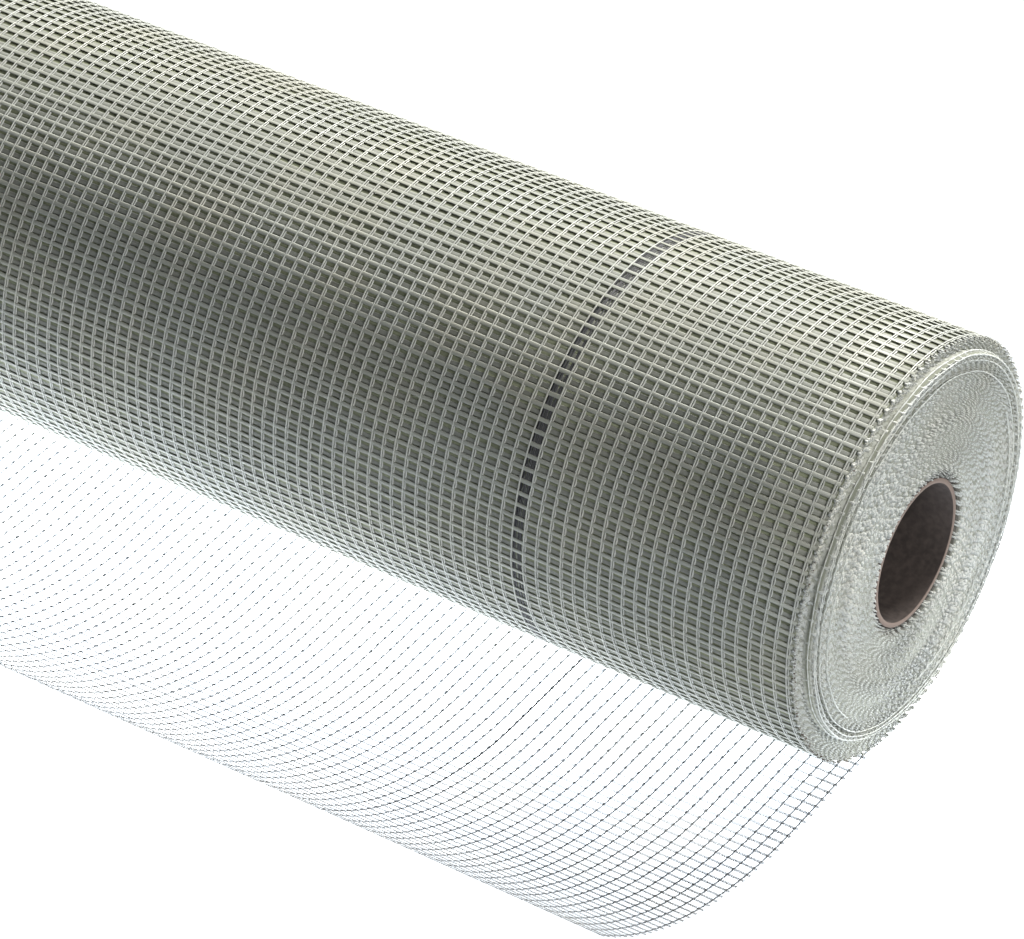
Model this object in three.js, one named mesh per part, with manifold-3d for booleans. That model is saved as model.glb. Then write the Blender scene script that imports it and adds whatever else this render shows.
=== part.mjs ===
// A roll of glass fibre mesh on a cardboard core, lying on its side.
// The web is wound anticlockwise as seen from the +X end, leaves the roll underneath,
// runs flat on the floor toward -Y and then curls up, as a web that has been wound does.
// Millimetres. +Z is up, X is the roll's axis, and the origin is the point on the floor
// under the middle of the axis.

import * as THREE from 'three';
import { mergeVertices } from 'three/addons/utils/BufferGeometryUtils.js';
import Module from 'manifold-3d';

// The web.
const WEB_WIDTH = 1000;
const WEB_THICKNESS = 0.6;

// The wound roll.
const ROLL_RADIUS = 78;
const TURN_BANDS = 13;
const BAND_STEP = 0.5;

// The core tube, which a 2 inch rod fits.
const CORE_BORE_RADIUS = 25.4;
const CORE_WALL = 2;
const CORE_LENGTH = 1000;
const CORE_SHIFT = 2;
const CORE_GAP = 0.3;

// How far each turn has crept along the axis toward +X while it was wound, as
// [share of the way from the core to the outside, shift]. The inner turns stand proud
// of the +X end, and the outer ones lie back level with the rim.
const CREEP = [
  [0, 3],
  [0.84, 3],
  [0.86, -0.2],
  [1, 0],
];

// The loose end of the web: a flat run on the floor, then an arc that curls up.
const FLAT_RUN = 70;
const CURL_RADIUS = 183;
const CURL_ANGLE = 43.5;
const CURL_STEPS = 14;

// Round shapes have this many flats, and one of the flats faces the floor.
const SIDES = 64;

const meshBoreRadius = CORE_BORE_RADIUS + CORE_WALL + CORE_GAP;
const wasm = await Module();
wasm.setup();

// The corner radius of a round shape whose flats lie at the radius given.
function cornerRadius(flatRadius) {
  return flatRadius / Math.cos(Math.PI / SIDES);
}

// The creep of the web at a share of the way from the core to the outside.
function creepAt(share) {
  for (let i = 1; i < CREEP.length; i += 1) {
    const [startShare, startShift] = CREEP[i - 1];
    const [endShare, endShift] = CREEP[i];
    if (share <= endShare) {
      const along = (share - startShare) / (endShare - startShare);
      return THREE.MathUtils.lerp(startShift, endShift, along);
    }
  }
  return CREEP[CREEP.length - 1][1];
}

// A turned shape about the X axis at the height of the roll's axis. Its section is a
// loop of [radius, x] points, from the +X end outward, along the outside and back.
function turned(section) {
  const loop = [...section, section[0]].reverse();
  const points = loop.map(([radius, x]) => new THREE.Vector2(cornerRadius(radius), x));
  const geometry = new THREE.LatheGeometry(points, SIDES, Math.PI / SIDES);
  geometry.rotateZ(-Math.PI / 2);
  geometry.translate(0, 0, ROLL_RADIUS);
  return geometry;
}

// The wound turns, with a band of turns at each end standing a little proud of the next.
function woundSection() {
  const wall = ROLL_RADIUS - meshBoreRadius;
  const near = [];
  const far = [];
  for (let band = 0; band < TURN_BANDS; band += 1) {
    const inner = meshBoreRadius + (wall * band) / TURN_BANDS;
    const outer = meshBoreRadius + (wall * (band + 1)) / TURN_BANDS;
    const step = band % 2 === 0 ? BAND_STEP : -BAND_STEP;
    const last = band === TURN_BANDS - 1;
    const shift = last ? 0 : creepAt((band + 0.5) / TURN_BANDS) + step;
    near.push([inner, WEB_WIDTH / 2 + shift], [outer, WEB_WIDTH / 2 + shift]);
    far.unshift([outer, -WEB_WIDTH / 2 + shift], [inner, -WEB_WIDTH / 2 + shift]);
  }
  return [...near, ...far];
}

// The loose end's section, with y as the shape's first axis and z as its second.
function looseEndShape() {
  const under = [new THREE.Vector2(0, 0)];
  const over = [new THREE.Vector2(0, WEB_THICKNESS)];
  for (let step = 0; step <= CURL_STEPS; step += 1) {
    const angle = THREE.MathUtils.degToRad((CURL_ANGLE * step) / CURL_STEPS);
    for (const [side, radius] of [[under, CURL_RADIUS], [over, CURL_RADIUS - WEB_THICKNESS]]) {
      const y = -FLAT_RUN - radius * Math.sin(angle);
      const z = CURL_RADIUS - radius * Math.cos(angle);
      side.push(new THREE.Vector2(y, z));
    }
  }
  return new THREE.Shape([...under, ...over.reverse()]);
}

function looseEnd() {
  const geometry = new THREE.ExtrudeGeometry(looseEndShape(), {
    depth: WEB_WIDTH,
    bevelEnabled: false,
  });
  // The shape's axes y, z and the extrusion's become the part's Y, Z and X.
  geometry.applyMatrix4(new THREE.Matrix4().set(
    0, 0, 1, -WEB_WIDTH / 2,
    1, 0, 0, 0,
    0, 1, 0, 0,
    0, 0, 0, 1,
  ));
  return geometry;
}

// A closed solid from a geometry. Rounding to a thousandth lets faces that lie on the
// floor meet exactly.
function solid(geometry) {
  const bare = geometry.index ? geometry.toNonIndexed() : geometry.clone();
  bare.deleteAttribute('normal');
  bare.deleteAttribute('uv');
  const position = bare.getAttribute('position');
  for (let i = 0; i < position.array.length; i += 1) {
    position.array[i] = Math.round(position.array[i] * 1000) / 1000;
  }
  const merged = mergeVertices(bare, 1e-4);
  return new wasm.Manifold(new wasm.Mesh({
    numProp: 3,
    vertProperties: new Float32Array(merged.getAttribute('position').array),
    triVerts: new Uint32Array(merged.getIndex().array),
  }));
}

function geometryOf(manifold) {
  const mesh = manifold.getMesh();
  const geometry = new THREE.BufferGeometry();
  geometry.setAttribute('position', new THREE.BufferAttribute(mesh.vertProperties, 3));
  geometry.setIndex(new THREE.BufferAttribute(mesh.triVerts, 1));
  geometry.computeVertexNormals();
  return geometry;
}

function piece(name, geometry, color, roughness) {
  const material = new THREE.MeshStandardMaterial({ color, roughness, metalness: 0 });
  const mesh = new THREE.Mesh(geometry, material);
  mesh.name = name;
  return mesh;
}

const wound = solid(turned(woundSection()));
const meshRoll = geometryOf(wound.add(solid(looseEnd())));

const coreRadius = CORE_BORE_RADIUS + CORE_WALL;
const coreEnd = CORE_SHIFT + CORE_LENGTH / 2;
const coreStart = CORE_SHIFT - CORE_LENGTH / 2;
const coreTube = turned([
  [CORE_BORE_RADIUS, coreEnd],
  [coreRadius, coreEnd],
  [coreRadius, coreStart],
  [CORE_BORE_RADIUS, coreStart],
]);

const group = new THREE.Group();
group.add(piece('mesh_roll', meshRoll, 0xdfe5d6, 0.7));
group.add(piece('core_tube', coreTube, 0x8a735c, 0.9));

export default group;
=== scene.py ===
"""Dresses a roll of coated glass fibre mesh: its woven web, cut ends, loose end and board core."""

import math

import bpy
import numpy as np
from bpy.props import FloatProperty, FloatVectorProperty, IntProperty, PointerProperty
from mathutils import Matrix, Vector


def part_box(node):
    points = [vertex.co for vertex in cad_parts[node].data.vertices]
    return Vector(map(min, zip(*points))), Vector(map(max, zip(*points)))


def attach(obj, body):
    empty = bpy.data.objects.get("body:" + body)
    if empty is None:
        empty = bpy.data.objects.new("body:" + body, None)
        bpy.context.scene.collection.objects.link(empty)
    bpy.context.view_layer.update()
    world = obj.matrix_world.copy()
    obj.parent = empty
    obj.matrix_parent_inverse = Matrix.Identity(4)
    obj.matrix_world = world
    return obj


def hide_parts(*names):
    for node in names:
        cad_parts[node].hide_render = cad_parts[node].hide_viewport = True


bl_info = {
    "name": "Glass Fibre Mesh Roll",
    "version": (1, 0, 0),
    "blender": (4, 5, 0),
    "location": "View3D > Sidebar > Mesh Roll",
    "description": "Makes the woven web, cut ends and core of a roll of glass fibre mesh",
    "category": "Add Mesh",
}

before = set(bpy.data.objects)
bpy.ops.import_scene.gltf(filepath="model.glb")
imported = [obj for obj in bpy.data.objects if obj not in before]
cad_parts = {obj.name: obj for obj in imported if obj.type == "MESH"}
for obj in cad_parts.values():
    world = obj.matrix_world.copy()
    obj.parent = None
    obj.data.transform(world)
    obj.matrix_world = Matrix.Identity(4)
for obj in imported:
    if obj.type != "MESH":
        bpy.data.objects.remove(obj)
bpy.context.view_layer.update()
ROLL_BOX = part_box("mesh_roll")
CORE_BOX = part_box("core_tube")

TAU = 2 * math.pi
ROLL_RADIUS = ROLL_BOX[1].z / 2
CORE_RADIUS = (CORE_BOX[1].z - CORE_BOX[0].z) / 2
CORE_WALL = 0.002
# The gap between the tube and the first turn.
CORE_GAP = 0.0003

# The crosswise bands of the outer turn, counted back from the roll's lowest line.
WOUND_NUMBERS = range(-109, 1)
# Each band has its own random draws: DRAWS of them, the first for the band -FIRST_DRAW.
DRAWS = 400
FIRST_DRAW = 200

# How far the yarn's streaks are squeezed along X, Y and Z: even on a twisted thread, and
# drawn out along the flat bands.
YARN_GRAIN = (900.0, 900.0, 900.0)
CUT_GRAIN = (700.0, 700.0, 700.0)
ROVING_GRAIN = (60.0, 2600.0, 2600.0)

# The photograph's view: the camera's place, how far it stands round from -Y toward +X, how
# far it looks down, and its lens in millimetres on a 36 mm wide sensor.
CAMERA_PLACE = (1.14102, -1.20731, 1.16117)
CAMERA_TURN = math.radians(33.694)
CAMERA_RISE = math.radians(37.614)
CAMERA_LENS = 178.8
FLOOR_REACH = 14.0

# The end's shape from the core to the rim: (radius in metres, creep toward +X in metres).
# The turns next to the core and a band near the rim's step lie a little lower.
CREEP = (
    (0.0277, 0.0026),
    (0.0300, 0.0032),
    (0.0380, 0.0027),
    (0.0470, 0.0033),
    (0.0560, 0.0028),
    (0.0640, 0.0032),
    (0.0652, 0.0029),
    (0.0656, 0.0019),
    (0.0672, 0.0016),
    (0.0678, 0.0030),
    (0.0703, 0.0034),
    (0.0706, -0.0005),
    (0.0741, -0.0007),
    (0.0780, 0.0000),
)


class MeshRollSizes(bpy.types.PropertyGroup):
    """Sizes of the web and of the roll's ends."""

    web_width: FloatProperty(
        name="Web width",
        description="Width of the mesh, along the roll's axis",
        default=1.0,
        unit="LENGTH",
    )
    warp_pitch: FloatProperty(
        name="Warp pitch",
        description="Distance between the pairs of lengthwise threads",
        default=0.005,
        unit="LENGTH",
    )
    weft_pitch: FloatProperty(
        name="Weft pitch",
        description="Distance between the crosswise bands",
        default=0.0045,
        unit="LENGTH",
    )
    weft_width: FloatProperty(
        name="Weft width",
        description="Width of a flat crosswise band",
        default=0.00160,
        unit="LENGTH",
    )
    thread_width: FloatProperty(
        name="Thread width",
        description="Width of one thread of a lengthwise pair",
        default=0.00070,
        unit="LENGTH",
    )
    pair_spread: FloatProperty(
        name="Pair spread",
        description="How far each thread of a pair lies from the pair's middle",
        default=0.00042,
        unit="LENGTH",
    )
    loose_spread: FloatProperty(
        name="Loose pair spread",
        description="The same on the loose end, where the pairs are drawn together",
        default=0.00012,
        unit="LENGTH",
    )
    step_rise: FloatProperty(
        name="Step rise",
        description="How far the end's step lies over the roll's axis",
        default=0.0028,
        unit="LENGTH",
    )
    step_radius: FloatProperty(
        name="Step radius",
        description="Radius of the end's step, where the outer turns lie back",
        default=0.0703,
        unit="LENGTH",
    )
    web_thickness: FloatProperty(
        name="Web thickness",
        description="Thickness of the loose web where its threads cross",
        default=0.0006,
        unit="LENGTH",
    )
    turn_thickness: FloatProperty(
        name="Turn thickness",
        description="Thickness that each turn adds to the wound roll",
        default=0.000335,
        unit="LENGTH",
    )
    second_depth: FloatProperty(
        name="Second turn depth",
        description="How far the next turn's crosswise bands lie under the outer ones",
        default=0.00044,
        unit="LENGTH",
    )
    second_offset: FloatProperty(
        name="Second turn offset",
        description="How far along the web the next turn's bands lie beside the outer ones",
        default=0.00175,
        unit="LENGTH",
    )
    cell_depth: FloatProperty(
        name="Opening depth",
        description="How far the solid turns lie under the outer turn's threads",
        default=0.00080,
        unit="LENGTH",
    )
    bow: FloatProperty(
        name="Weft bow",
        description="How far the crosswise bands run ahead in the middle of the web",
        default=0.0043,
        unit="LENGTH",
    )
    flat_run: FloatProperty(
        name="Flat run",
        description="How far the loose end lies flat on the floor",
        default=0.070,
        unit="LENGTH",
    )
    curl_radius: FloatProperty(
        name="Curl radius",
        description="Radius of the loose end's curl, on its underside",
        default=0.183,
        unit="LENGTH",
    )
    loose_wefts: IntProperty(
        name="Loose bands",
        description="Number of crosswise bands on the loose end",
        default=45,
        min=2,
    )
    marker_row: IntProperty(
        name="Marker row",
        description="Lengthwise pair, counted from the web's edge, that has a dark thread",
        default=22,
        min=0,
    )


COLOUR = {"subtype": "COLOR", "size": 3, "min": 0, "max": 1}


class MeshRollColours(bpy.types.PropertyGroup):
    """Colours of the web, the board and the floor."""

    yarn: FloatVectorProperty(
        name="Yarn",
        description="Coated glass yarn of the lengthwise threads",
        default=(0.56, 0.56, 0.51),
        **COLOUR,
    )
    band: FloatVectorProperty(
        name="Band",
        description="Flat crosswise bands",
        default=(0.385, 0.39, 0.34),
        **COLOUR,
    )
    # The turns below: a greenish tint of their own, darkened as painted shade of the deep layers.
    below_tint_and_shade: FloatVectorProperty(
        name="Turns below",
        description="The turns that show through the openings",
        default=(0.185, 0.20, 0.13),
        **COLOUR,
    )
    cut: FloatVectorProperty(
        name="Cut ends",
        description="Cut ends of the crosswise bands",
        default=(0.56, 0.565, 0.53),
        **COLOUR,
    )
    marker: FloatVectorProperty(
        name="Marker",
        description="The dark marker thread",
        default=(0.012, 0.013, 0.018),
        **COLOUR,
    )
    board: FloatVectorProperty(
        name="Board",
        description="Grey-brown board of the core",
        default=(0.052, 0.040, 0.036),
        **COLOUR,
    )
    floor: FloatVectorProperty(
        name="Floor",
        description="Light of the plain pale floor, a light table",
        default=(0.90, 0.955, 1.0),
        **COLOUR,
    )


# Meshes


def new_piece(name, points, quads, tris=(), uv=None, smooth=True):
    """A mesh object from arrays. Where the closed surface encloses a negative volume, which is
    the sum over its triangles of one corner dotted with the cross product of the other two,
    every face is turned over."""
    points = np.asarray(points, float).reshape(-1, 3)
    quads = np.asarray(quads, np.int64).reshape(-1, 4)
    tris = np.asarray(tris, np.int64).reshape(-1, 3)
    parts = np.concatenate([quads[:, [0, 1, 2]], quads[:, [0, 2, 3]], tris])
    a, b, c = (points[parts[:, i]] for i in range(3))
    if (a * np.cross(b, c)).sum() < 0:
        quads, tris = quads[:, ::-1], tris[:, ::-1]
        if uv is not None:
            uv = uv[:, ::-1]
    mesh = bpy.data.meshes.new(name)
    mesh.vertices.add(len(points))
    mesh.vertices.foreach_set("co", points.astype(np.float32).ravel())
    mesh.loops.add(quads.size + tris.size)
    mesh.loops.foreach_set(
        "vertex_index", np.concatenate([quads.ravel(), tris.ravel()]).astype(np.int32)
    )
    mesh.polygons.add(len(quads) + len(tris))
    starts = np.concatenate(
        [np.arange(len(quads)) * 4, quads.size + np.arange(len(tris)) * 3]
    )
    mesh.polygons.foreach_set("loop_start", starts.astype(np.int32))
    if uv is not None:
        layer = mesh.uv_layers.new(name="turns")
        flat = np.zeros((quads.size + tris.size, 2), np.float32)
        flat[: quads.size] = np.asarray(uv, np.float32).reshape(-1, 2)
        layer.uv.foreach_set("vector", flat.ravel())
    mesh.update(calc_edges=True)
    mesh.polygons.foreach_set("use_smooth", np.full(len(mesh.polygons), smooth))
    piece = bpy.data.objects.new(name, mesh)
    bpy.context.scene.collection.objects.link(piece)
    return piece


def closed_grid(count, around):
    """The quads of a grid of points that closes on itself both ways, as point numbers."""
    i = np.arange(count)[:, None]
    j = np.arange(around)[None, :]
    i2, j2 = (i + 1) % count, (j + 1) % around
    corners = ((i, j), (i2, j), (i2, j2), (i, j2))
    return np.stack(
        [np.broadcast_to(a * around + b, (count, around)) for a, b in corners], axis=-1
    )


def swept(name, centres, across, outward, section):
    """Many closed threads at once. Each thread's section, a ring of (across, outward) offsets,
    is carried along its row of centres: point = centre + across * a + outward * b, and a fan
    of triangles closes each end. Section offsets may change along the rows."""
    rings = (
        centres[:, :, None, :]
        + across[:, :, None, :] * section[..., 0, None]
        + outward[:, :, None, :] * section[..., 1, None]
    )
    rows, along, corners = rings.shape[:3]
    index = np.arange(rows * along * corners).reshape(rows, along, corners)
    here, ahead = index[:, :-1], index[:, 1:]
    quads = np.stack(
        [here, ahead, np.roll(ahead, -1, axis=2), np.roll(here, -1, axis=2)], axis=-1
    )
    fans = []
    for i in range(1, corners - 1):
        fans.append(index[:, 0][:, [0, i, i + 1]])
        fans.append(index[:, -1][:, [0, i + 1, i]])
    return new_piece(name, rings, quads, np.concatenate(fans))


def dress(piece, slot, node_name, *materials):
    """Gives a piece its materials and lets it stand for its node, under the root body. The slot is
    not used.
    """
    for paint in materials:
        piece.data.materials.append(paint)
    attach(piece, "root")
    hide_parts(node_name)


def dress_web(piece, *materials):
    """Dresses a piece of the web."""
    dress(piece, "glass_mesh", "mesh_roll", *materials)


# The web's shape


def web_line(s, sizes):
    """The web's middle line at distance s along it, as y, z and the outward normal's y, z.
    Below 0 it is a spiral of radius R - h - (t / 2 pi) u at the angle u back from the roll's
    lowest point, with u found from (R - h) u - (t / 4 pi) u^2 = -s. From 0 to the flat run it
    is straight along the floor, and past that an arc that rises from the floor."""
    half = sizes.web_thickness / 2
    first = ROLL_RADIUS - half
    loss = sizes.web_thickness / (2 * TAU)
    back = np.maximum(-s, 0)
    u = (first - np.sqrt(first**2 - 4 * loss * back)) / (2 * loss)
    radius = first - 2 * loss * u
    curl = sizes.curl_radius - half
    a = np.maximum(s - sizes.flat_run, 0) / curl
    wound = s < 0
    y = np.where(
        wound, radius * np.sin(u), -np.clip(s, 0, sizes.flat_run) - curl * np.sin(a)
    )
    z = np.where(
        wound, ROLL_RADIUS - radius * np.cos(u), half + curl * (1 - np.cos(a))
    )
    out_y = np.where(wound, np.sin(u), -np.sin(a))
    out_z = -np.where(wound, np.cos(u), np.cos(a))
    return y, z, out_y, out_z


def wander(rows, s, sizes):
    """The slow sideways wander of the lengthwise pairs: a sum of three sines of the place
    along the web, with wave lengths of 37, 91 and 240 mm and phases of each row's own."""
    count = len(warp_rows(sizes))
    phases = np.random.default_rng(3).uniform(0, TAU, (3, count))[:, rows]
    total = np.zeros_like(s)
    for wave, share, phase in zip((0.037, 0.091, 0.240), (0.3, 0.5, 1.0), phases):
        total += share * np.sin(TAU * s / wave + phase[:, None])
    return 0.00013 * total


def weft_places(numbers, x, sizes):
    """Where each crosswise band crosses the web at x, as distance along the web: its number
    times the pitch, a little scatter, a bow b (1 - exp(-(d / 170 mm)^1.6)) at the distance d
    from the nearer edge, and a wander of a short and a long sine."""
    numbers = np.asarray(numbers)
    rng = np.random.default_rng(11)
    own = numbers + FIRST_DRAW
    scatter = rng.normal(0, 0.00007, DRAWS)[own]
    phases = rng.uniform(0, TAU, (2, DRAWS))[:, own]
    edge = np.maximum(sizes.web_width / 2 - np.abs(x), 0)
    bow = sizes.bow * (1 - np.exp(-((edge / 0.170) ** 1.6)))
    short = 0.00009 * np.sin(TAU * x / 0.110 + phases[0][:, None])
    long = 0.00013 * np.sin(TAU * x / 0.340 + phases[1][:, None])
    return (numbers * sizes.weft_pitch + scatter)[:, None] + bow + (short + long)


def on_web(x, s, lift, sizes):
    """Points and outward normals on the web at x, s, lifted along the normal."""
    y, z, out_y, out_z = web_line(s, sizes)
    points = np.stack(
        np.broadcast_arrays(x, y + out_y * lift, z + out_z * lift), axis=-1
    )
    outward = np.stack(np.broadcast_arrays(np.zeros_like(x), out_y, out_z), axis=-1)
    return points, outward


def warp_rows(sizes):
    """The x places of the lengthwise pairs, evenly spaced and centred on the web."""
    count = int(round(sizes.web_width / sizes.warp_pitch))
    return (np.arange(count) - (count - 1) / 2) * sizes.warp_pitch


def thread_rows(sizes):
    """The numbers of all the lengthwise pairs, of the two marked ones and of the others."""
    rows = np.arange(len(warp_rows(sizes)))
    marked = np.array([sizes.marker_row, len(rows) - 1 - sizes.marker_row])
    return rows, marked, np.setdiff1d(rows, marked)


# A thread's section: (across, outward) shares of its width and height.
THREAD = np.array([(-0.5, -0.42), (0.5, -0.42), (0.0, 0.58)])


def over_threads(name, rows, numbers, sizes, spread):
    """The thread of each pair that lies over the crosswise bands: a three-sided prism along
    the web, on the pair's -X side, with one point at each band and a little scatter."""
    x = warp_rows(sizes)[rows]
    s = weft_places(numbers, x[None, :], sizes).T
    rng = np.random.default_rng(19)
    sway = rng.normal(0, 0.00005, s.shape)
    across_at = x[:, None] - spread + sway + wander(rows, s, sizes)
    points, outward = on_web(across_at, s, sizes.web_thickness * 0.29, sizes)
    across = np.zeros_like(points)
    across[..., 0] = 1
    section = THREAD * (sizes.thread_width, sizes.web_thickness * 0.36)
    return swept(name, points, across, outward, section[None, None])


def under_threads(name, rows, numbers, sizes, spread, ends=0.0):
    """The thread of each pair that passes under the bands. It dives toward the pair's middle
    at each band and comes up on the pair's +X side in the middle of each opening."""
    x = warp_rows(sizes)[rows]
    cross = weft_places(numbers, x[None, :], sizes).T
    s = np.empty((len(x), cross.shape[1] * 2 - 1))
    s[:, 0::2] = cross
    s[:, 1::2] = (cross[:, 1:] + cross[:, :-1]) / 2
    s[:, -1] += ends
    swing = np.full(s.shape[1], 0.25 * spread)
    swing[1::2] = 1.15 * spread
    lift = np.full(s.shape[1], -0.34 * sizes.web_thickness)
    lift[1::2] = 0.22 * sizes.web_thickness
    across_at = x[:, None] + swing + wander(rows, s, sizes)
    points, outward = on_web(across_at, s, lift, sizes)
    across = np.zeros_like(points)
    across[..., 0] = 1
    section = THREAD * (sizes.thread_width, sizes.web_thickness * 0.36)
    return swept(name, points, across, outward, section[None, None])


def drifted_markers(name, numbers, sizes):
    """The dark threads of the marker row in the turns below. Each turn's lies a little
    further along the axis and deeper, with a slow sideways drift of its own."""
    count = 6
    rng = np.random.default_rng(37)
    half = (len(warp_rows(sizes)) - 1) / 2
    marked = (half - sizes.marker_row) * sizes.warp_pitch
    turn = np.tile(np.arange(1, count + 1), 2)
    base = np.repeat([marked, -marked], count)
    x = base + 0.0007 * turn + rng.normal(0, 0.0001, 2 * count)
    s = weft_places(numbers, x[None, :], sizes).T + rng.uniform(0, 0.0045, 2 * count)[:, None]
    phase = rng.uniform(0, TAU, (2, 2 * count, 1))
    drift = 0.0003 * np.sin(TAU * s / 0.17 + phase[0]) + 0.0002 * np.sin(TAU * s / 0.06 + phase[1])
    lift = -0.00004 - 0.00002 * turn[:, None] + 0.00003 * np.sin(TAU * s / 0.031 + phase[1])
    points, outward = on_web(x[:, None] + drift, s, lift, sizes)
    across = np.zeros_like(points)
    across[..., 0] = 1
    section = THREAD * (sizes.thread_width * 0.95, sizes.web_thickness * 0.4)
    return swept(name, points, across, outward, section[None, None])


# A flat band's section: (across, outward) shares of half its width and height.
BAND = np.array(
    [(-1, 0), (-0.62, 0.9), (0.62, 0.9), (1, 0), (0.62, -0.9), (-0.62, -0.9)]
)


def bands(name, numbers, sizes, step=0.028, depth=0.0, offset=0.0):
    """Flat crosswise bands. A hexagon, wide along the web and thin across it, is carried
    along x, following the band's own bow and wander, to a cut end past the last pair. Bands
    set off along the web belong to a deeper turn: they are wider and wander on their own."""
    half = sizes.web_width / 2
    rng = np.random.default_rng(29)
    own = np.asarray(numbers) + FIRST_DRAW
    trimmed = half - 0.0011
    ends = trimmed + rng.normal(0.0, 0.0002, (2, DRAWS))[:, own]
    share = np.linspace(-1, 1, int(round(2 * half / step)) + 1)
    x = np.where(share < 0, ends[0][:, None], ends[1][:, None]) * share
    s = weft_places(numbers, share[None, :] * half, sizes) + offset
    if offset:
        phase = rng.uniform(0, TAU, (2, len(s), 1))
        s += 0.00022 * np.sin(TAU * x / 0.21 + phase[0] * 0.4)
        s += 0.00012 * np.sin(TAU * x / 0.083 + phase[1])
    points, outward = on_web(x, s, -depth, sizes)
    across = np.cross(outward, (1.0, 0.0, 0.0))
    width = sizes.weft_width * (1.25 if offset else 1.0)
    section = BAND * (width / 2, sizes.web_thickness * 0.28)
    return swept(name, points, across, outward, section[None, None])


# Materials


def material(name, roughness):
    """A new material and its Principled shader."""
    made = bpy.data.materials.new(name)
    made.use_nodes = True
    shader = made.node_tree.nodes["Principled BSDF"]
    shader.inputs["Roughness"].default_value = roughness
    return made, shader


def node(tree, kind, values=(), **settings):
    """Adds a node, sets its plain settings and fills its inputs: sockets are linked and
    other values are set."""
    made = tree.nodes.new(kind)
    for key, value in settings.items():
        setattr(made, key, value)
    for key, value in dict(values).items():
        if isinstance(value, bpy.types.NodeSocket):
            tree.links.new(value, made.inputs[key])
        else:
            made.inputs[key].default_value = value
    return made


def maths(tree, operation, a, b=0.0):
    """The result of a Math node on two values."""
    return node(tree, "ShaderNodeMath", {0: a, 1: b}, operation=operation).outputs[0]


def ramp(tree, value, low, high, to_low=0.0, to_high=1.0):
    """A smooth step of a value from one range to another."""
    return node(
        tree,
        "ShaderNodeMapRange",
        {"Value": value, 1: low, 2: high, 3: to_low, 4: to_high},
        interpolation_type="SMOOTHSTEP",
    ).outputs[0]


def mixed(tree, share, a, b, blend="MIX"):
    """The colour a with a share of the colour b."""
    made = tree.nodes.new("ShaderNodeMix")
    made.data_type = "RGBA"
    made.blend_type = blend
    for key, value in ((0, share), (6, a), (7, b)):
        if isinstance(value, bpy.types.NodeSocket):
            tree.links.new(value, made.inputs[key])
        elif key == 0:
            made.inputs[key].default_value = value
        else:
            made.inputs[key].default_value = (*value[:3], 1)
    return made.outputs[2]


def noise(tree, place, scale, detail):
    """Noise at a place, from 0 to 1."""
    values = {"Vector": place, "Scale": scale, "Detail": detail}
    return node(tree, "ShaderNodeTexNoise", values).outputs[0]


def raised(tree, shader, height, strength, distance):
    """Lets a height raise and lower the shader's surface."""
    values = {"Height": height, "Strength": strength, "Distance": distance}
    lift = node(tree, "ShaderNodeBump", values).outputs[0]
    tree.links.new(lift, shader.inputs["Normal"])


def yarn_group():
    """Shared look of coated glass yarn: slow patches of tint and fine filament streaks, as a
    colour and a height."""
    name = "coated_yarn"
    if name in bpy.data.node_groups:
        return bpy.data.node_groups[name]
    group = bpy.data.node_groups.new(name, "ShaderNodeTree")
    face = group.interface
    for label, kind in (
        ("Colour", "NodeSocketColor"),
        ("Stretch", "NodeSocketVector"),
        ("Streaks", "NodeSocketFloat"),
    ):
        face.new_socket(label, in_out="INPUT", socket_type=kind)
    for label, kind in (("Colour", "NodeSocketColor"), ("Height", "NodeSocketFloat")):
        face.new_socket(label, in_out="OUTPUT", socket_type=kind)
    start = group.nodes.new("NodeGroupInput")
    end = group.nodes.new("NodeGroupOutput")
    place = group.nodes.new("ShaderNodeTexCoord").outputs["Object"]
    patches = noise(group, place, 26.0, 3.0)
    stretched = node(
        group,
        "ShaderNodeVectorMath",
        {0: place, 1: start.outputs["Stretch"]},
        operation="MULTIPLY",
    ).outputs[0]
    streaks = noise(group, stretched, 1.0, 2.0)
    plain = start.outputs["Colour"]
    cool = mixed(group, ramp(group, patches, 0.35, 0.65), plain, (0.93, 0.98, 1.06), "MULTIPLY")
    tint = mixed(group, ramp(group, patches, 0.3, 0.7, 0.0, 0.5), cool, plain)
    share = ramp(group, streaks, 0.35, 0.7)
    depth = maths(group, "MULTIPLY", share, start.outputs["Streaks"])
    dark = mixed(group, depth, tint, (0.62, 0.62, 0.58), "MULTIPLY")
    group.links.new(dark, end.inputs["Colour"])
    group.links.new(streaks, end.inputs["Height"])
    return group


def yarn_material(name, colour, stretch, streaks, roughness=0.5):
    """Coated yarn: the shared yarn look with its own tint and streak direction."""
    made, shader = material(name, roughness)
    tree = made.node_tree
    look = node(tree, "ShaderNodeGroup", node_tree=yarn_group())
    look.inputs["Colour"].default_value = (*colour, 1)
    look.inputs["Stretch"].default_value = stretch
    look.inputs["Streaks"].default_value = streaks
    tree.links.new(look.outputs["Colour"], shader.inputs["Base Color"])
    raised(tree, shader, look.outputs["Height"], 0.25, 0.0001)
    return made


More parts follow.
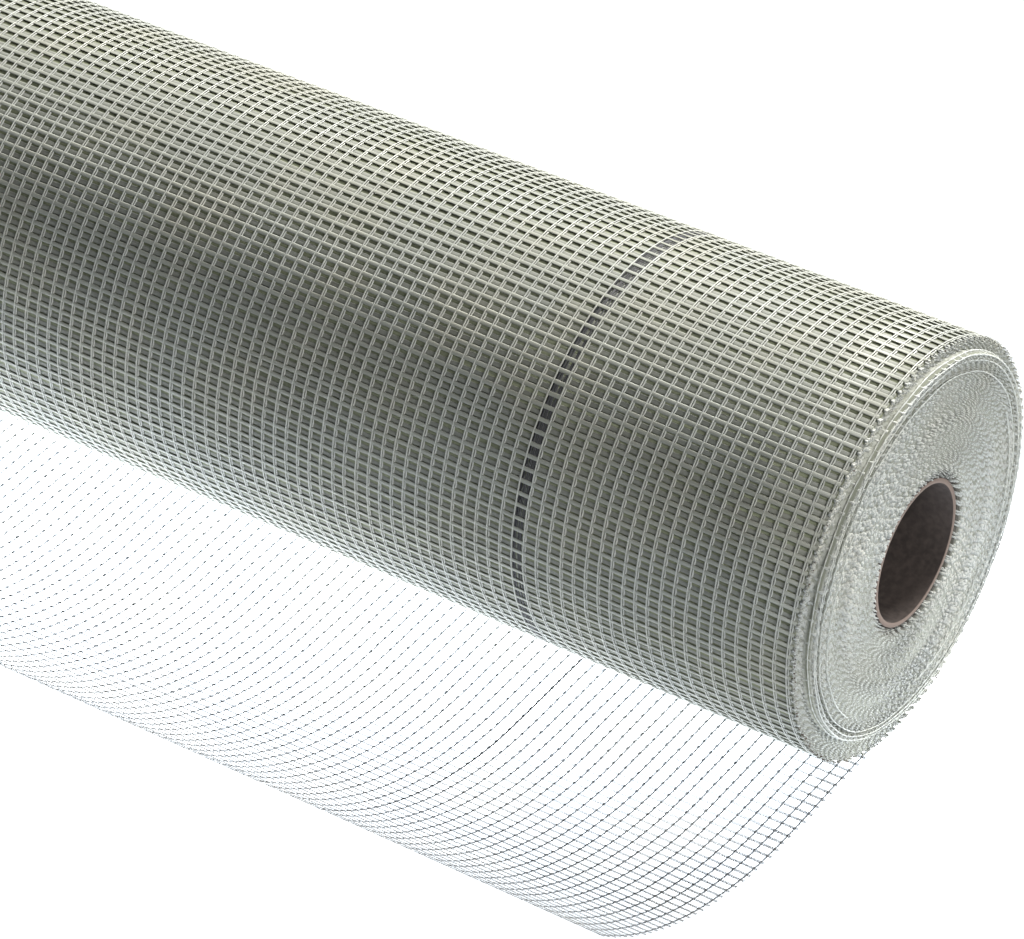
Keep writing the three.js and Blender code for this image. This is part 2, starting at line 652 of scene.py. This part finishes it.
def below_material(colours):
    """The turns under the outer one, on the surface's own map of u, web pitches, and v, pair
    pitches: bands and threads of the deeper turns drift in and out of view. Their colour is
    kept dark as painted shade of the deep layers that the openings look into."""
    made, shader = material("turns_below", 0.75)
    tree = made.node_tree
    uv = node(tree, "ShaderNodeUVMap", uv_map="turns").outputs[0]
    split = node(tree, "ShaderNodeSeparateXYZ", {0: uv})
    u, v = split.outputs[0], split.outputs[1]
    slow = noise(tree, uv, 0.07, 2.0)
    phase = maths(tree, "FRACT", maths(tree, "ADD", u, maths(tree, "MULTIPLY", slow, 3.0)))
    near = maths(tree, "ABSOLUTE", maths(tree, "SUBTRACT", phase, 0.5))
    band = ramp(tree, near, 0.14, 0.3, 1.0, 0.0)
    across = maths(tree, "FRACT", maths(tree, "ADD", v, maths(tree, "MULTIPLY", slow, 0.5)))
    row = ramp(
        tree, maths(tree, "ABSOLUTE", maths(tree, "SUBTRACT", across, 0.75)), 0.06, 0.14, 1.0, 0.0
    )
    fine = noise(tree, uv, 6.0, 2.0)
    # The base colour is dark: painted shade of the deep turns, over their own greenish tint.
    base = tuple(colours.below_tint_and_shade)
    light = tuple(min(1.0, c * 1.22) for c in base)
    dark = tuple(c * 0.82 for c in base)
    colour = mixed(tree, maths(tree, "MAXIMUM", band, row), dark, light)
    colour = mixed(tree, ramp(tree, fine, 0.3, 0.7, 0.0, 0.35), colour, light)
    tree.links.new(colour, shader.inputs["Base Color"])
    raised(tree, shader, band, 0.6, 0.0002)
    return made


def edge_material(colours):
    """The wound web's edges on the roll's ends, on a map of u, turns round the axis, and v,
    turns from the core. v - u is a spiral: its fraction runs across one turn and its whole
    part numbers the turns, so each turn gets a light thread, a dark gap of painted shade and
    its own tone. The turns next to the core are darker: painted shade of the recess by the core."""
    made, shader = material("turn_edges", 0.8)
    tree = made.node_tree
    uv = node(tree, "ShaderNodeUVMap", uv_map="turns").outputs[0]
    split = node(tree, "ShaderNodeSeparateXYZ", {0: uv})
    u, v = split.outputs[0], split.outputs[1]
    spiral = maths(tree, "SUBTRACT", v, u)
    inside = maths(tree, "FRACT", spiral)
    near = maths(tree, "ABSOLUTE", maths(tree, "SUBTRACT", inside, 0.5))
    thread = ramp(tree, near, 0.2, 0.42, 1.0, 0.0)
    number = maths(tree, "FLOOR", spiral)
    tone = node(
        tree, "ShaderNodeTexWhiteNoise", {"W": number}, noise_dimensions="1D"
    ).outputs[0]
    place = node(tree, "ShaderNodeTexCoord").outputs["Object"]
    speckle = noise(tree, place, 700.0, 2.0)
    light = tuple(c * 0.9 for c in colours.cut)
    # The dark gaps between the turns' light threads are painted shade.
    dark = (0.20, 0.21, 0.165)
    share = maths(tree, "MULTIPLY", thread, ramp(tree, speckle, 0.32, 0.6, 0.35, 1.0))
    colour = mixed(tree, share, dark, light)
    colour = mixed(tree, maths(tree, "MULTIPLY", tone, 0.35), colour, (0.36, 0.38, 0.31))
    # Painted shade: the turns next to the core darken toward the bore.
    core = ramp(tree, v, 2.0, 11.0, 0.95, 0.0)
    colour = mixed(tree, core, colour, (0.045, 0.035, 0.028))
    tree.links.new(colour, shader.inputs["Base Color"])
    raised(tree, shader, share, 0.5, 0.0003)
    return made


def board_material(colours):
    """Grey-brown board of the tube: fibre flecks, soft clouds, and a paler cut edge where the
    surface faces along the axis."""
    made, shader = material("core_board", 0.92)
    tree = made.node_tree
    place = node(tree, "ShaderNodeTexCoord").outputs["Object"]
    flecks = noise(tree, place, 420.0, 4.0)
    clouds = noise(tree, place, 60.0, 3.0)
    base = tuple(colours.board)
    colour = mixed(
        tree,
        ramp(tree, flecks, 0.3, 0.72),
        tuple(c * 0.72 for c in base),
        tuple(c * 1.3 for c in base),
    )
    colour = mixed(
        tree, ramp(tree, clouds, 0.35, 0.7, 0.0, 0.4), colour, tuple(c * 1.15 for c in base)
    )
    facing = node(tree, "ShaderNodeNewGeometry").outputs["Normal"]
    along = maths(tree, "ABSOLUTE", node(tree, "ShaderNodeSeparateXYZ", {0: facing}).outputs[0])
    rim = ramp(tree, along, 0.6, 0.9)
    colour = mixed(tree, rim, colour, (0.20, 0.15, 0.125))
    tree.links.new(colour, shader.inputs["Base Color"])
    raised(tree, shader, flecks, 0.35, 0.0003)
    return made


def light_table(tint):
    """The plain pale floor, lit from below like a light table. It is brightest under the
    roll and falls off smoothly outside an oval that is longer along the roll."""
    made, shader = material("light_table", 0.9)
    tree = made.node_tree
    shader.inputs["Base Color"].default_value = (0.05, 0.05, 0.05, 1)
    shader.inputs["Emission Color"].default_value = (*tint, 1)
    place = node(tree, "ShaderNodeTexCoord").outputs["Object"]
    oval = node(
        tree,
        "ShaderNodeVectorMath",
        {0: place, 1: (0.3, 1.0, 0.0)},
        operation="MULTIPLY",
    ).outputs[0]
    reach = node(tree, "ShaderNodeVectorMath", {0: oval}, operation="LENGTH").outputs["Value"]
    glow = ramp(tree, reach, 0.09, 0.215, 7.4, 1.12)
    tree.links.new(glow, shader.inputs["Emission Strength"])
    return made


def plain_material(name, colour, roughness):
    """One even colour."""
    made, shader = material(name, roughness)
    shader.inputs["Base Color"].default_value = (*colour, 1)
    return made


# Shapes of the ends


def creep_at(radius):
    """The creep of the web's edge toward +X at a radius, straight between the listed points."""
    table = np.array(CREEP)
    return np.interp(radius, table[:, 0], table[:, 1])


def lifted(radius, angle, sizes):
    """Where a ring of the end lies. The rings near the step lie over the roll's axis: the
    radius grows by the rise times the sine of the angle, times a bell curve of the distance
    from the step."""
    bell = np.exp(-(((radius - sizes.step_radius) / 0.0042) ** 2))
    return radius + sizes.step_rise * np.sin(angle) * bell


def unlifted(radius, angle, sizes):
    """The ring that a point of the end belongs to: lifted() turned round by repeated
    correction."""
    ring = radius
    for _ in range(4):
        ring = ring + radius - lifted(ring, angle, sizes)
    return ring


def turn_walk(turns):
    """Each turn's own step out of line: a walk of small steps that is pulled back to zero."""
    steps = np.random.default_rng(5).normal(0, 0.00009, turns)
    ages = np.arange(turns)[:, None] - np.arange(turns)[None, :]
    return np.where(ages >= 0, 0.85 ** np.abs(ages), 0.0) @ steps


def turn_count(sizes):
    """How many turns fit between the core and the rim."""
    wall = ROLL_RADIUS - CORE_RADIUS - CORE_GAP
    return int(wall / sizes.turn_thickness)


def wound_body(name, sizes):
    """The turns under the outer one, as one turned surface. Its section runs out along one
    end, along the outside, back along the other end and through the bore, and each ring of
    the section is turned round the axis. The ends lie below the cut stubs, with the turns'
    creep smoothed over neighbours."""
    inner = CORE_RADIUS + CORE_GAP
    outer = ROLL_RADIUS - sizes.web_thickness / 2 - sizes.cell_depth
    half = sizes.web_width / 2
    radius = np.sort(
        np.concatenate([np.linspace(inner, outer, 56), np.array(CREEP)[4:-1, 0]])
    )
    sunk = 0.0007 + 0.0030 * np.exp(-(((radius - inner) / 0.0013) ** 2))
    near = half + creep_at(radius) - sunk
    far = -half + creep_at(radius) + sunk
    middle = np.linspace(near[-1], far[-1], 6)[1:-1]
    section_r = np.concatenate([radius, np.full(4, outer), radius[::-1]])
    section_x = np.concatenate([near, middle, far[::-1]])
    around = 192
    angle = np.linspace(0, TAU, around, endpoint=False)
    rng = np.random.default_rng(17)
    ends = np.concatenate([np.ones(len(radius)), np.zeros(4), np.ones(len(radius))])
    wave = np.zeros((len(section_r), around))
    for harmonic in (2, 3, 5):
        phase = rng.uniform(0, TAU) + section_r[:, None] * 260
        wave += 0.00012 * np.sin(harmonic * angle + phase)
    x = section_x[:, None] + wave * ends[:, None]
    r = lifted(section_r[:, None], angle, sizes)
    r = np.where(section_r[:, None] >= outer, outer, np.minimum(r, outer))
    points = np.stack([x, r * np.cos(angle), ROLL_RADIUS + r * np.sin(angle)], axis=-1)
    count = len(section_r)
    whole = (np.arange(around + 1) / around)[None, :]
    first, last = len(radius) - 1, len(radius) + 4
    side = (np.arange(count) >= first) & (np.arange(count) < last)
    turn_v = (section_r - inner) / sizes.turn_thickness
    arc_u = outer * TAU / sizes.weft_pitch
    row_v = (section_x + half) / sizes.warp_pitch
    uv = np.empty((count, around, 4, 2))
    following = np.arange(1, count + 1) % count
    for corner, (at_row, ahead) in enumerate(
        ((np.arange(count), 0), (following, 0), (following, 1), (np.arange(count), 1))
    ):
        turn = np.broadcast_to(whole[:, ahead : ahead + around], (count, around))
        uv[:, :, corner, 0] = np.where(side[:, None], turn * arc_u, turn)
        uv[:, :, corner, 1] = np.where(
            side[:, None], row_v[at_row][:, None], turn_v[at_row][:, None]
        )
    quads = closed_grid(count, around)
    piece = new_piece(name, points, quads, (), uv.reshape(-1, 4, 2))
    slots = np.where(side, 0, 1)
    slots[-1] = 1
    indices = np.repeat(slots, around).astype(np.int32)
    piece.data.polygons.foreach_set("material_index", indices)
    return piece


def cut_stubs(name, end, sizes):
    """The cut ends of the bands of every wound turn. Band k of the web lies at the arc length
    k p, so its radius is sqrt(r0^2 + t k p / pi) and its angle is the fraction of the turns
    wound by then. Each stub is a flat three-sided prism that stands out of the end."""
    inner = CORE_RADIUS + CORE_GAP
    turns = turn_count(sizes)
    outer = ROLL_RADIUS - sizes.web_thickness * 0.5
    total = int(
        math.pi * (outer**2 - inner**2) / (sizes.turn_thickness * sizes.weft_pitch)
    )
    rng = np.random.default_rng(41 if end > 0 else 43)
    k = np.arange(total) + rng.normal(0, 0.03, total)
    radius = np.sqrt(
        inner**2 + sizes.turn_thickness * sizes.weft_pitch * np.abs(k) / math.pi
    )
    wound = (radius - inner) / sizes.turn_thickness
    angle = TAU * wound
    turn = np.clip(wound.astype(int), 0, turns - 1)
    shift = creep_at(unlifted(radius, angle, sizes)) + turn_walk(turns)[turn]
    out_y, out_z = np.cos(angle), np.sin(angle)
    tip = end * sizes.web_width / 2 + shift + end * rng.normal(0, 0.00008, total)
    inset = np.where(radius > ROLL_RADIUS - 0.0013, 0.0013, 0.0030)
    base = end * sizes.web_width / 2 + shift - end * inset
    lean = rng.normal(0, 0.00005, (2, total))
    rows = []
    for x, sway, slip in ((base, 0.0, 0.0), (tip, lean[0], lean[1] * 0.5)):
        y = (radius + slip) * out_y - sway * out_z
        z = ROLL_RADIUS + (radius + slip) * out_z + sway * out_y
        rows.append(np.stack([x, y, z], axis=-1))
    centres = np.stack(rows, axis=1)
    across = np.stack([np.zeros(total), -out_z, out_y], axis=-1)[:, None, :]
    outward = np.stack([np.zeros(total), out_y, out_z], axis=-1)[:, None, :]
    wide = (sizes.weft_width / 2) * rng.uniform(0.7, 1.0, total)
    wide *= 0.42 + 0.58 * np.clip((wound - 1.0) / 9.0, 0, 1)
    section = np.empty((total, 2, 3, 2))
    section[..., 0] = np.array([-1.0, 1.0, 0.0]) * wide[:, None, None]
    section[..., 1] = np.array([-0.6, -0.6, 1.0]) * 0.00017
    return swept(name, centres, across, outward, section)


def edge_pairs(name, end, rings, sizes):
    """Edge threads that stand out of the end as bright lines. Each is a pair of strands
    twisted round a ring of the end, half a twist apart: the strands' offset turns once per
    two band pitches, and the ring waves slowly in and out."""
    rng = np.random.default_rng(61 if end > 0 else 67)
    rings = np.repeat(np.asarray(rings, float), 2, axis=0)
    radius, place, start, sweep, width = rings.T[:, :, None]
    count = 240
    turn = np.radians(start + np.linspace(0, 1, count)[None, :] * sweep)
    half_twist = np.tile([0.0, math.pi], len(rings) // 2)[:, None]
    twist = turn * radius * math.pi / sizes.weft_pitch + half_twist
    ripple = np.repeat(rng.uniform(0, TAU, (3, len(rings) // 2, 1)), 2, axis=1)
    wave = np.zeros_like(turn)
    for harmonic, phase in zip((3, 7, 16), ripple):
        wave = wave + 0.00011 * np.sin(harmonic * turn + phase)
    r = lifted(radius, turn, sizes) + wave + 0.42 * width * np.cos(twist)
    x = place + 0.8 * np.roll(wave, 40, axis=1) + 0.42 * width * np.sin(twist)
    out_y, out_z = np.cos(turn), np.sin(turn)
    centres = np.stack([x, r * out_y, ROLL_RADIUS + r * out_z], axis=-1)
    outward = np.stack([0 * out_y, out_y, out_z], axis=-1)
    across = np.zeros_like(outward)
    across[..., 0] = 1
    corners = np.array([(-1.0, 0.0), (0.0, 1.0), (1.0, 0.0), (0.0, -1.0)])
    section = corners[None, None] * (width[:, :, None, None] * 0.55)
    section = np.broadcast_to(section, (len(rings), count, 4, 2))
    return swept(name, centres, across, outward, section)


def burnt_specks(name, end, sizes):
    """Small dark lumps where thread ends were cut hot: eight-sided grains, each a stretched
    octahedron, scattered along the rim and gathered on its lower front."""
    rng = np.random.default_rng(83 if end > 0 else 89)
    rim = rng.normal(math.radians(222), math.radians(26), 90)
    every = rng.uniform(0, TAU, 30)
    spot = rng.normal(math.radians(289), math.radians(1.1), 9)
    angle = np.concatenate([rim, every, spot])
    count = len(angle)
    radius = ROLL_RADIUS - 0.0004 - np.abs(rng.normal(0, 0.0006, count))
    radius[-9:] -= rng.uniform(0, 0.0012, 9)
    centre = np.stack(
        [
            end * (sizes.web_width / 2 + rng.normal(0.0001, 0.0003, count)),
            radius * np.cos(angle),
            ROLL_RADIUS + radius * np.sin(angle),
        ],
        axis=-1,
    )
    size = rng.uniform(0.00018, 0.00045, (count, 1, 1)) * rng.uniform(0.6, 1.3, (count, 1, 3))
    tips = np.array(
        [(1, 0, 0), (-1, 0, 0), (0, 1, 0), (0, -1, 0), (0, 0, 1), (0, 0, -1)], float
    )
    points = centre[:, None, :] + tips * size
    faces = np.array(
        [
            (0, 2, 4), (2, 1, 4), (1, 3, 4), (3, 0, 4),
            (2, 0, 5), (1, 2, 5), (3, 1, 5), (0, 3, 5),
        ]
    )
    tris = faces[None] + np.arange(count)[:, None, None] * 6
    return new_piece(name, points, (), tris)


def rim_fluff(name, end, count, sizes):
    """Loose filaments along the rim: thin three-sided spikes that start on the outer turns
    and bend once on their way out."""
    rng = np.random.default_rng(71 if end > 0 else 73)
    angle = rng.uniform(0, TAU, count)
    depth = np.abs(rng.normal(0, 0.0011, count))
    radius = ROLL_RADIUS - 0.0004 - depth
    out = np.stack([np.zeros(count), np.cos(angle), np.sin(angle)], axis=-1)
    side = np.stack([np.zeros(count), -np.sin(angle), np.cos(angle)], axis=-1)
    start = out * radius[:, None]
    start[:, 0] = end * (sizes.web_width / 2 - rng.uniform(-0.0002, 0.0006, count))
    start[:, 2] += ROLL_RADIUS
    way = (
        out * rng.normal(0.0, 0.35, count)[:, None]
        + side * rng.normal(0, 0.9, count)[:, None]
    )
    way[:, 0] = end * rng.uniform(0.1, 1.0, count)
    way /= np.linalg.norm(way, axis=1)[:, None]
    length = rng.uniform(0.0005, 0.0017, count)[:, None]
    bend = (out * rng.normal(0, 0.3, count)[:, None] + side * rng.normal(0, 0.5, count)[:, None])
    centres = np.stack(
        [start, start + way * length * 0.5, start + (way + bend * 0.5) * length], axis=1
    )
    centres[..., 2] = np.maximum(centres[..., 2], 0.0002)
    across = np.cross(way, out)
    across /= np.linalg.norm(across, axis=1)[:, None] + 1e-9
    other = np.cross(way, across)
    thick = np.array([1.0, 0.8, 0.25])[None, :, None] * rng.uniform(
        0.00005, 0.00013, count
    )[:, None, None]
    section = np.empty((count, 3, 3, 2))
    section[..., 0] = np.array([-0.87, 0.87, 0.0]) * thick
    section[..., 1] = np.array([-0.5, -0.5, 1.0]) * thick
    return swept(name, centres, across[:, None, :], other[:, None, :], section)


def tube(name):
    """The core: a closed ring of section points with slightly rounded cut edges, turned round
    the axis."""
    low, high = CORE_BOX[0].x, CORE_BOX[1].x
    outer = CORE_RADIUS
    inner = CORE_RADIUS - CORE_WALL
    soft = 0.00025
    section = np.array(
        [
            (inner, low + soft),
            (inner + soft, low),
            (outer - soft, low),
            (outer, low + soft),
            (outer, high - soft),
            (outer - soft, high),
            (inner + soft, high),
            (inner, high - soft),
        ]
    )
    rows = np.linspace(high - soft, low + soft, 12)[1:-1]
    section = np.concatenate([section, np.stack([np.full(10, inner), rows], axis=-1)])
    around = 160
    angle = np.linspace(0, TAU, around, endpoint=False)
    points = np.stack(
        np.broadcast_arrays(
            section[:, 1][:, None],
            section[:, 0][:, None] * np.cos(angle),
            ROLL_RADIUS + section[:, 0][:, None] * np.sin(angle),
        ),
        axis=-1,
    )
    return new_piece(name, points, closed_grid(len(section), around))


# Operators


def thread_materials(colours):
    """The lengthwise yarn and the flat crosswise roving of the wound turns."""
    yarn = yarn_material("warp_yarn", colours.yarn, YARN_GRAIN, 0.2, 0.34)
    roving = yarn_material("weft_roving", colours.band, ROVING_GRAIN, 0.4, 0.5)
    return yarn, roving


def loose_materials():
    """The same threads on the loose end, where a single layer lets most light through. The loose
    roving is a much lighter copy of the wound bands' roving: painted light.
    """
    made = []
    for name, colour, stretch, through in (
        ("loose_yarn", (0.55, 0.55, 0.55), YARN_GRAIN, 0.70),
        # Painted light: the loose roving is far lighter than the same roving on the roll.
        ("loose_roving", (0.62, 0.62, 0.62), ROVING_GRAIN, 0.62),
    ):
        paint = yarn_material(name, colour, stretch, 0.15, 0.5)
        shader = paint.node_tree.nodes["Principled BSDF"]
        shader.inputs["Transmission Weight"].default_value = through
        shader.inputs["IOR"].default_value = 1.12
        made.append(paint)
    return made


class MESHROLL_OT_turns(bpy.types.Operator):
    """Make the turns under the outer one and the cut ends of their bands."""

    bl_idname = "meshroll.turns"
    bl_label = "Wound turns"

    def execute(self, context):
        sizes = context.scene.mesh_roll_sizes
        colours = context.scene.mesh_roll_colours
        body = wound_body("wound_turns", sizes)
        dress_web(body, below_material(colours), edge_material(colours))
        cut = yarn_material("cut_bands", colours.cut, CUT_GRAIN, 0.3, 0.55)
        for end, label in ((1, "proud"), (-1, "hollow")):
            stubs = cut_stubs(f"cut_ends_{label}", end, sizes)
            dress_web(stubs, cut)
        return {"FINISHED"}


class MESHROLL_OT_outer_turn(bpy.types.Operator):
    """Weave the outer turn: crosswise bands and the pairs of lengthwise threads."""

    bl_idname = "meshroll.outer_turn"
    bl_label = "Outer turn"

    def execute(self, context):
        sizes = context.scene.mesh_roll_sizes
        colours = context.scene.mesh_roll_colours
        yarn, roving = thread_materials(colours)
        dark = plain_material("marker_yarn", colours.marker, 0.5)
        rows, marked, plain = thread_rows(sizes)
        numbers = np.array(WOUND_NUMBERS)
        dress_web(bands("outer_bands", numbers, sizes), roving)
        second = bands(
            "second_bands",
            numbers,
            sizes,
            step=0.03,
            depth=sizes.second_depth,
            offset=sizes.second_offset,
        )
        # The next turn's bands take the outer bands' colour darkened: painted shade under the
        # outer turn.
        painted_shade_band = tuple(c * 0.76 for c in colours.band)
        shaded = yarn_material("second_roving", painted_shade_band, ROVING_GRAIN, 0.4, 0.6)
        dress_web(second, shaded)
        over = over_threads("outer_threads_over", rows, numbers, sizes, sizes.pair_spread)
        dress_web(over, yarn)
        middle = len(plain) // 2
        for label, part in (("left", plain[:middle]), ("right", plain[middle:])):
            piece = under_threads(
                f"outer_threads_{label}", part, numbers, sizes, sizes.pair_spread
            )
            dress_web(piece, yarn)
        piece = under_threads("marker_threads", marked, numbers, sizes, sizes.pair_spread)
        dress_web(piece, dark)
        piece = drifted_markers("marker_threads_below", numbers, sizes)
        worn = plain_material("marker_yarn_below", (0.085, 0.086, 0.09), 0.6)
        dress_web(piece, worn)
        return {"FINISHED"}


class MESHROLL_OT_loose_end(bpy.types.Operator):
    """Weave the loose end, which lies on the floor and curls up."""

    bl_idname = "meshroll.loose_end"
    bl_label = "Loose end"

    def execute(self, context):
        sizes = context.scene.mesh_roll_sizes
        yarn, roving = loose_materials()
        dark = plain_material("marker_loose", context.scene.mesh_roll_colours.marker, 0.5)
        rows, marked, plain = thread_rows(sizes)
        numbers = np.arange(0, sizes.loose_wefts + 1)
        cloth = bands("loose_bands", numbers[1:], sizes)
        dress_web(cloth, roving)
        over = over_threads("loose_threads_over", rows, numbers, sizes, sizes.loose_spread)
        dress_web(over, yarn)
        under = under_threads(
            "loose_threads_under", plain, numbers, sizes, sizes.loose_spread, 0.002
        )
        dress_web(under, yarn)
        mark = under_threads(
            "loose_marker", marked, numbers, sizes, sizes.loose_spread, 0.002
        )
        dress_web(mark, dark)
        return {"FINISHED"}


class MESHROLL_OT_end_threads(bpy.types.Operator):
    """Make the edge threads and loose filaments that show on the ends."""

    bl_idname = "meshroll.end_threads"
    bl_label = "End threads"

    def execute(self, context):
        sizes = context.scene.mesh_roll_sizes
        half = sizes.web_width / 2
        bright = yarn_material("edge_yarn", (0.62, 0.625, 0.58), YARN_GRAIN, 0.1, 0.45)
        # Each ring: radius, x, start and sweep in degrees, and strand width.
        near = (
            (0.0701, half + 0.0034, 0, 360, 0.00028),
            (0.0707, half + 0.0014, 60, 360, 0.00030),
            (0.0684, half + 0.0033, 140, 360, 0.00026),
            (0.0655, half + 0.0030, 0, 360, 0.00028),
            (0.0612, half + 0.0034, 118, 104, 0.00026),
            (0.0622, half + 0.0034, -42, 66, 0.00024),
            (0.0586, half + 0.0033, -86, 50, 0.00024),
        )
        far = (
            (0.0772, -half - 0.0003, 0, 360, 0.00036),
            (0.0718, -half - 0.0010, 0, 360, 0.00040),
            (0.0709, -half - 0.0010, 90, 360, 0.00036),
            (0.0650, -half + 0.0028, 90, 360, 0.00036),
        )
        for end, label, rings in ((1, "proud", near), (-1, "hollow", far)):
            piece = edge_pairs(f"edge_threads_{label}", end, rings, sizes)
            dress_web(piece, bright)
        burnt = plain_material("burnt_ends", (0.10, 0.07, 0.055), 0.8)
        for end, label in ((1, "proud"), (-1, "hollow")):
            piece = burnt_specks(f"burnt_specks_{label}", end, sizes)
            dress_web(piece, burnt)
        fluff = yarn_material("loose_filaments", (0.58, 0.565, 0.48), YARN_GRAIN, 0.2, 0.6)
        for end, label in ((1, "proud"), (-1, "hollow")):
            piece = rim_fluff(f"filaments_{label}", end, 1200, sizes)
            dress_web(piece, fluff)
        return {"FINISHED"}


class MESHROLL_OT_core(bpy.types.Operator):
    """Make the board tube that the web is wound on."""

    bl_idname = "meshroll.core"
    bl_label = "Core tube"

    def execute(self, context):
        colours = context.scene.mesh_roll_colours
        piece = tube("board_tube")
        dress(piece, "core_board", "core_tube", board_material(colours))
        return {"FINISHED"}


class MESHROLL_OT_stage(bpy.types.Operator):
    """Set up the floor, the light and the camera."""

    bl_idname = "meshroll.stage"
    bl_label = "Stage"

    def execute(self, context):
        scene = context.scene
        colours = scene.mesh_roll_colours
        square = np.array([(-1, -1, 0), (1, -1, 0), (1, 1, 0), (-1, 1, 0)])
        floor = new_piece("floor", square * FLOOR_REACH, [(0, 1, 2, 3)], smooth=False)
        floor.data.materials.append(light_table(colours.floor))

        world = bpy.data.worlds.new("studio")
        scene.world = world
        world.use_nodes = True
        tree = world.node_tree
        background = tree.nodes["Background"]
        background.inputs["Color"].default_value = (0.95, 0.97, 1.0, 1)
        way = node(tree, "ShaderNodeTexCoord").outputs["Generated"]
        height = node(tree, "ShaderNodeSeparateXYZ", {0: way}).outputs[2]
        glow = ramp(tree, height, 0.0, 0.5, 0.02, 0.06)
        tree.links.new(glow, background.inputs["Strength"])

        for name, place, aim, size, power, tint in (
            ("key", (0.55, 1.85, 1.80), (0.15, 0.0, 0.08), 0.9, 150.0, (1.0, 0.985, 0.93)),
            ("side", (2.0, -0.2, 1.2), (0.45, 0.0, 0.1), 0.7, 21.0, (1.0, 0.99, 0.95)),
        ):
            light = bpy.data.lights.new(name, "AREA")
            light.energy = power
            light.size = size
            light.color = tint
            lamp = bpy.data.objects.new(name, light)
            scene.collection.objects.link(lamp)
            lamp.location = place
            aimed = Vector(aim) - Vector(place)
            lamp.rotation_mode = "QUATERNION"
            lamp.rotation_quaternion = aimed.to_track_quat("-Z", "Y")

        level = math.cos(CAMERA_RISE)
        back = Vector(
            (
                math.sin(CAMERA_TURN) * level,
                -math.cos(CAMERA_TURN) * level,
                math.sin(CAMERA_RISE),
            )
        )
        lens = bpy.data.cameras.new("camera")
        lens.sensor_width = 36.0
        lens.lens = CAMERA_LENS
        lens.clip_start = 0.05
        lens.clip_end = 50.0
        camera = bpy.data.objects.new("camera", lens)
        scene.collection.objects.link(camera)
        camera.location = CAMERA_PLACE
        camera.rotation_mode = "QUATERNION"
        camera.rotation_quaternion = (-back).to_track_quat("-Z", "Y")
        scene.camera = camera
        scene.view_settings.view_transform = "Standard"
        return {"FINISHED"}


class MESHROLL_PT_panel(bpy.types.Panel):
    """Buttons and sizes of the mesh roll."""

    bl_idname = "MESHROLL_PT_panel"
    bl_label = "Mesh Roll"
    bl_space_type = "VIEW_3D"
    bl_region_type = "UI"
    bl_category = "Mesh Roll"

    def draw(self, context):
        layout = self.layout
        for operator in OPERATORS:
            layout.operator(operator.bl_idname)
        for group in (
            context.scene.mesh_roll_sizes,
            context.scene.mesh_roll_colours,
        ):
            box = layout.box()
            for name in group.__annotations__:
                box.prop(group, name)


OPERATORS = (
    MESHROLL_OT_stage,
    MESHROLL_OT_core,
    MESHROLL_OT_turns,
    MESHROLL_OT_outer_turn,
    MESHROLL_OT_loose_end,
    MESHROLL_OT_end_threads,
)
CLASSES = (MeshRollSizes, MeshRollColours, *OPERATORS, MESHROLL_PT_panel)


def register():
    for made in CLASSES:
        bpy.utils.register_class(made)
    bpy.types.Scene.mesh_roll_sizes = PointerProperty(type=MeshRollSizes)
    bpy.types.Scene.mesh_roll_colours = PointerProperty(type=MeshRollColours)


def unregister():
    del bpy.types.Scene.mesh_roll_colours
    del bpy.types.Scene.mesh_roll_sizes
    for made in reversed(CLASSES):
        bpy.utils.unregister_class(made)


def main():
    register()
    bpy.ops.meshroll.stage()
    bpy.ops.meshroll.core()
    bpy.ops.meshroll.turns()
    bpy.ops.meshroll.outer_turn()
    bpy.ops.meshroll.loose_end()
    bpy.ops.meshroll.end_threads()


if __name__ == "__main__":
    main()
